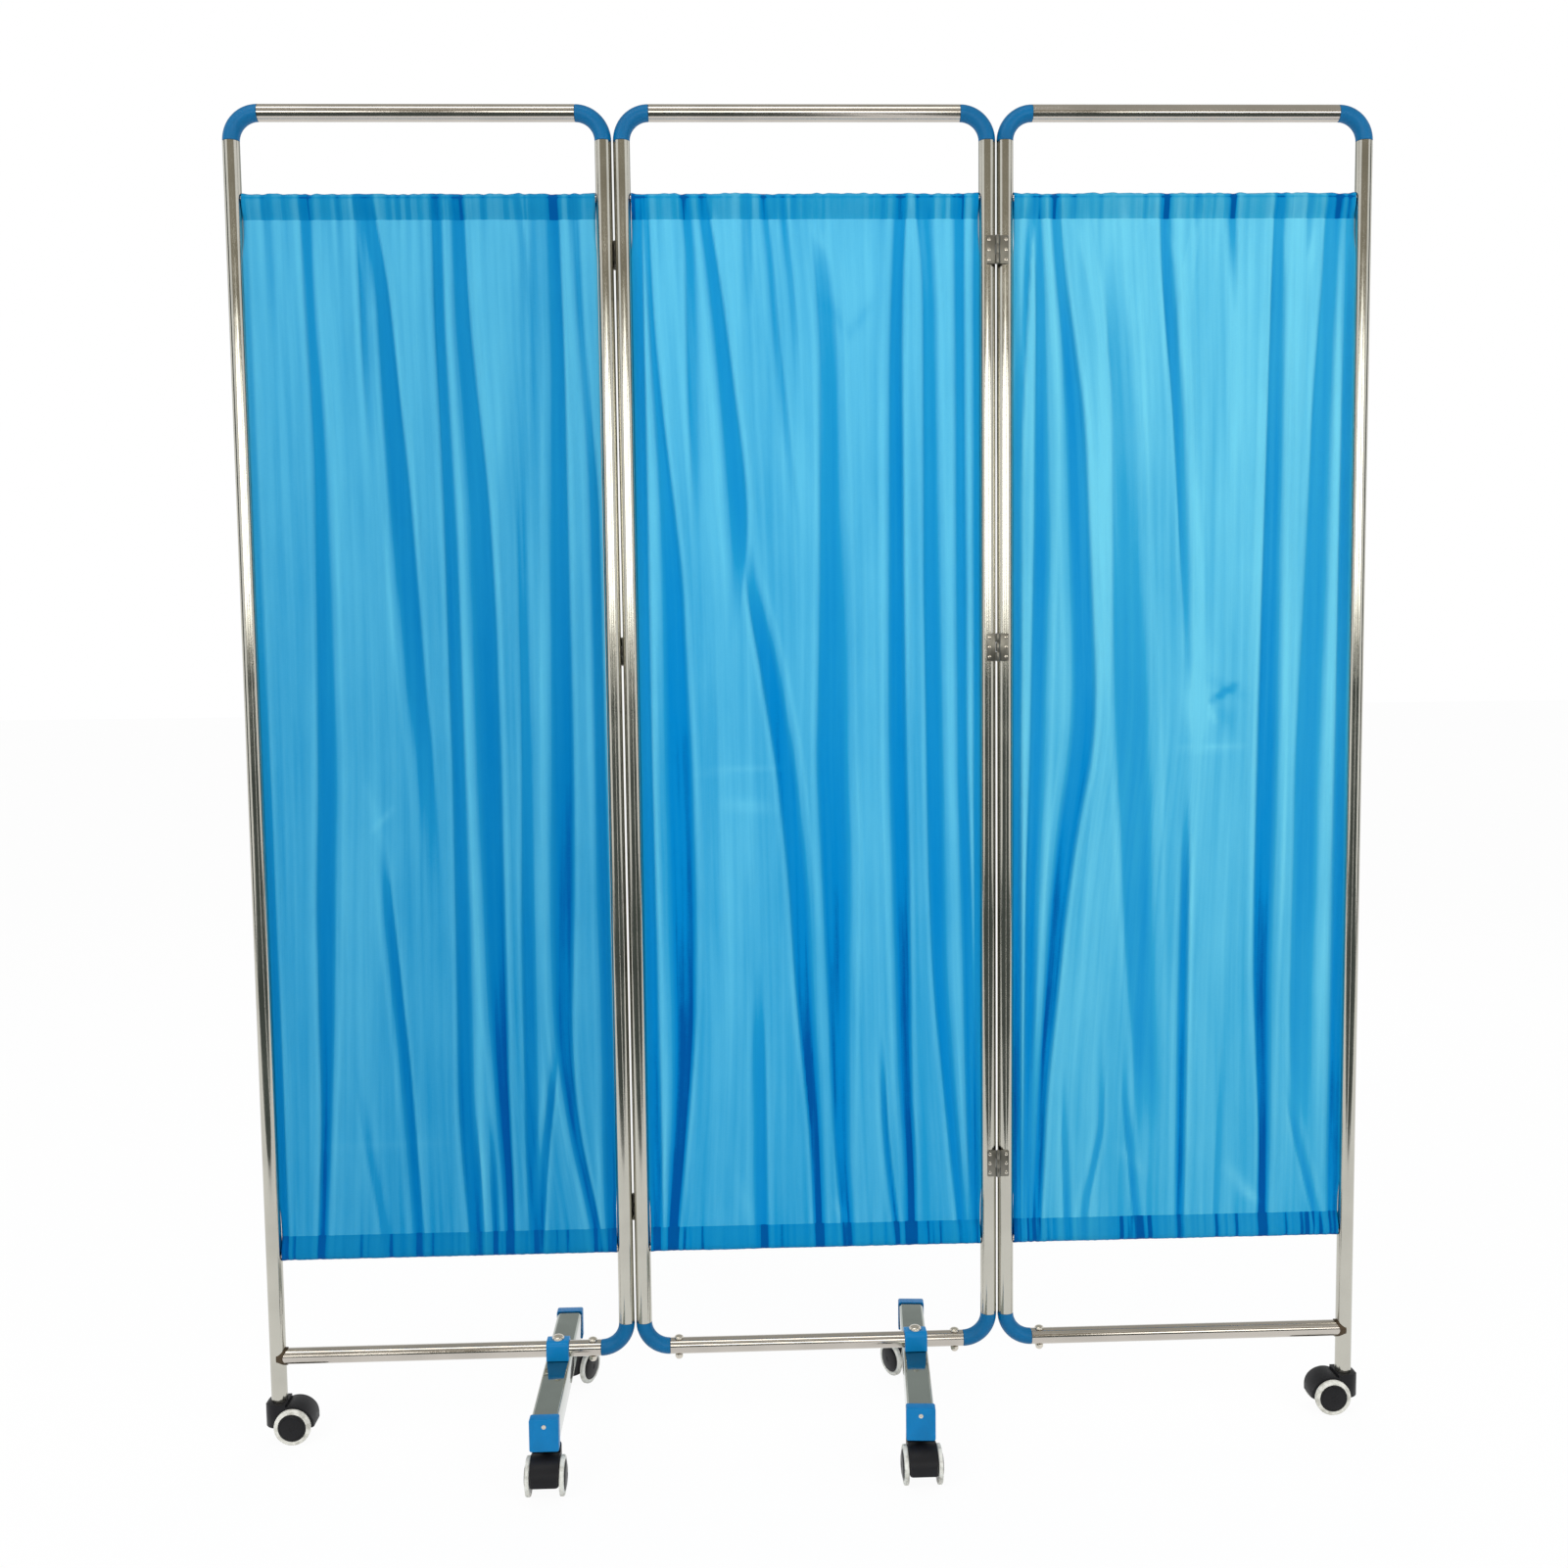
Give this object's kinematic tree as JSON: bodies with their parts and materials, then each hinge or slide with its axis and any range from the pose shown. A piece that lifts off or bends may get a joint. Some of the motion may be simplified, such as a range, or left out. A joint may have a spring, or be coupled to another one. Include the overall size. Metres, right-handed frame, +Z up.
{
  "type": "folding privacy screen on casters",
  "caption": "Folding ward privacy screen of hinged tubular frames with gathered curtains, standing on cross feet and swivelling twin-wheel casters.",
  "frame": {"origin": "on the floor, under the middle of the bounding box, with the screen unfolded flat", "axes": "+Z up, +X along the unfolded screen to the viewer's right, +Y from the front to the back"},
  "size_m": [1.534, 0.385, 1.8],
  "materials": {
    "polished_steel": "polished stainless steel",
    "blue_plastic": "satin moulded plastic",
    "black_plastic": "satin moulded nylon",
    "cream_tread": "matte pale tread",
    "blue_cloth": "thin crinkled synthetic cloth"
  },
  "bodies": {
    "middle_panel": {"middle_left_post": "polished_steel", "middle_right_post": "polished_steel", "middle_top_bar": "polished_steel", "middle_rail": "polished_steel", "middle_top_left_elbow": "blue_plastic", "middle_top_right_elbow": "blue_plastic", "middle_bottom_left_elbow": "blue_plastic", "middle_bottom_right_elbow": "blue_plastic", "middle_curtain": "blue_cloth", "middle_curtain_rod": "polished_steel", "middle_foot_saddle": "blue_plastic", "middle_foot_tube": "polished_steel", "middle_foot_front_cap": "blue_plastic", "middle_foot_rear_cap": "blue_plastic", "rear_hinge_top_right_leaf": "polished_steel", "rear_hinge_middle_right_leaf": "polished_steel", "rear_hinge_bottom_right_leaf": "polished_steel", "front_hinge_top_left_leaf": "polished_steel", "front_hinge_middle_left_leaf": "polished_steel", "front_hinge_bottom_left_leaf": "polished_steel"},
    "left_panel": {"left_end_post": "polished_steel", "left_seam_post": "polished_steel", "left_top_bar": "polished_steel", "left_rail": "polished_steel", "left_top_outer_elbow": "blue_plastic", "left_top_inner_elbow": "blue_plastic", "left_bottom_elbow": "blue_plastic", "left_curtain": "blue_cloth", "left_curtain_rod": "polished_steel", "left_foot_saddle": "blue_plastic", "left_foot_tube": "polished_steel", "left_foot_front_cap": "blue_plastic", "left_foot_rear_cap": "blue_plastic", "rear_hinge_top_left_leaf": "polished_steel", "rear_hinge_middle_left_leaf": "polished_steel", "rear_hinge_bottom_left_leaf": "polished_steel"},
    "right_panel": {"right_seam_post": "polished_steel", "right_end_post": "polished_steel", "right_top_bar": "polished_steel", "right_rail": "polished_steel", "right_top_inner_elbow": "blue_plastic", "right_top_outer_elbow": "blue_plastic", "right_bottom_elbow": "blue_plastic", "right_curtain": "blue_cloth", "right_curtain_rod": "polished_steel", "front_hinge_top_right_leaf": "polished_steel", "front_hinge_middle_right_leaf": "polished_steel", "front_hinge_bottom_right_leaf": "polished_steel"},
    "left_end_caster_swivel": {"left_end_caster_hood": "black_plastic"},
    "left_end_caster_axle": {"left_end_caster_wheels": "cream_tread"},
    "left_foot_front_caster_swivel": {"left_foot_front_caster_hood": "black_plastic"},
    "left_foot_front_caster_axle": {"left_foot_front_caster_wheels": "cream_tread"},
    "left_foot_rear_caster_swivel": {"left_foot_rear_caster_hood": "black_plastic"},
    "left_foot_rear_caster_axle": {"left_foot_rear_caster_wheels": "cream_tread"},
    "middle_foot_front_caster_swivel": {"middle_foot_front_caster_hood": "black_plastic"},
    "middle_foot_front_caster_axle": {"middle_foot_front_caster_wheels": "cream_tread"},
    "middle_foot_rear_caster_swivel": {"middle_foot_rear_caster_hood": "black_plastic"},
    "middle_foot_rear_caster_axle": {"middle_foot_rear_caster_wheels": "cream_tread"},
    "right_end_caster_swivel": {"right_end_caster_hood": "black_plastic"},
    "right_end_caster_axle": {"right_end_caster_wheels": "cream_tread"}
  },
  "joints": [
    {"name": "left_fold", "type": "hinge", "parent": "middle_panel", "child": "left_panel", "pos_m": [-0.2535, 0.0196, 1.085], "axis": [0, 0, 1], "range_deg": [-180, 7]},
    {"name": "right_fold", "type": "hinge", "parent": "middle_panel", "child": "right_panel", "pos_m": [0.2535, -0.0068, 1.085], "axis": [0, 0, 1], "range_deg": [-180, 7]},
    {"name": "left_end_caster_turn", "type": "hinge", "parent": "left_panel", "child": "left_end_caster_swivel", "pos_m": [-0.7485, 0.0064, 0.0545], "axis": [0, 0, 1], "continuous": true},
    {"name": "left_end_caster_roll", "type": "hinge", "parent": "left_end_caster_swivel", "child": "left_end_caster_axle", "pos_m": [-0.7265, 0.0064, 0.025], "axis": [0, 1, 0], "continuous": true},
    {"name": "left_foot_front_caster_turn", "type": "hinge", "parent": "left_panel", "child": "left_foot_front_caster_swivel", "pos_m": [-0.3615, -0.1426, 0.0545], "axis": [0, 0, 1], "continuous": true},
    {"name": "left_foot_front_caster_roll", "type": "hinge", "parent": "left_foot_front_caster_swivel", "child": "left_foot_front_caster_axle", "pos_m": [-0.3615, -0.1646, 0.025], "axis": [1, 0, 0], "continuous": true},
    {"name": "left_foot_rear_caster_turn", "type": "hinge", "parent": "left_panel", "child": "left_foot_rear_caster_swivel", "pos_m": [-0.3615, 0.1394, 0.0545], "axis": [0, 0, 1], "continuous": true},
    {"name": "left_foot_rear_caster_roll", "type": "hinge", "parent": "left_foot_rear_caster_swivel", "child": "left_foot_rear_caster_axle", "pos_m": [-0.35186, 0.15917, 0.025], "axis": [-0.8988, 0.4384, 0], "continuous": true},
    {"name": "middle_foot_front_caster_turn", "type": "hinge", "parent": "middle_panel", "child": "middle_foot_front_caster_swivel", "pos_m": [0.12631, -0.14214, 0.0545], "axis": [0, 0, 1], "continuous": true},
    {"name": "middle_foot_front_caster_roll", "type": "hinge", "parent": "middle_foot_front_caster_swivel", "child": "middle_foot_front_caster_axle", "pos_m": [0.12631, -0.16414, 0.025], "axis": [1, 0, 0], "continuous": true},
    {"name": "middle_foot_rear_caster_turn", "type": "hinge", "parent": "middle_panel", "child": "middle_foot_rear_caster_swivel", "pos_m": [0.14844, 0.13899, 0.0545], "axis": [0, 0, 1], "continuous": true},
    {"name": "middle_foot_rear_caster_roll", "type": "hinge", "parent": "middle_foot_rear_caster_swivel", "child": "middle_foot_rear_caster_axle", "pos_m": [0.13744, 0.15804, 0.025], "axis": [-0.866, -0.5, 0], "continuous": true},
    {"name": "right_end_caster_turn", "type": "hinge", "parent": "right_panel", "child": "right_end_caster_swivel", "pos_m": [0.7485, 0.0064, 0.0545], "axis": [0, 0, 1], "continuous": true},
    {"name": "right_end_caster_roll", "type": "hinge", "parent": "right_end_caster_swivel", "child": "right_end_caster_axle", "pos_m": [0.7265, 0.0064, 0.025], "axis": [0, 1, 0], "continuous": true}
  ]
}
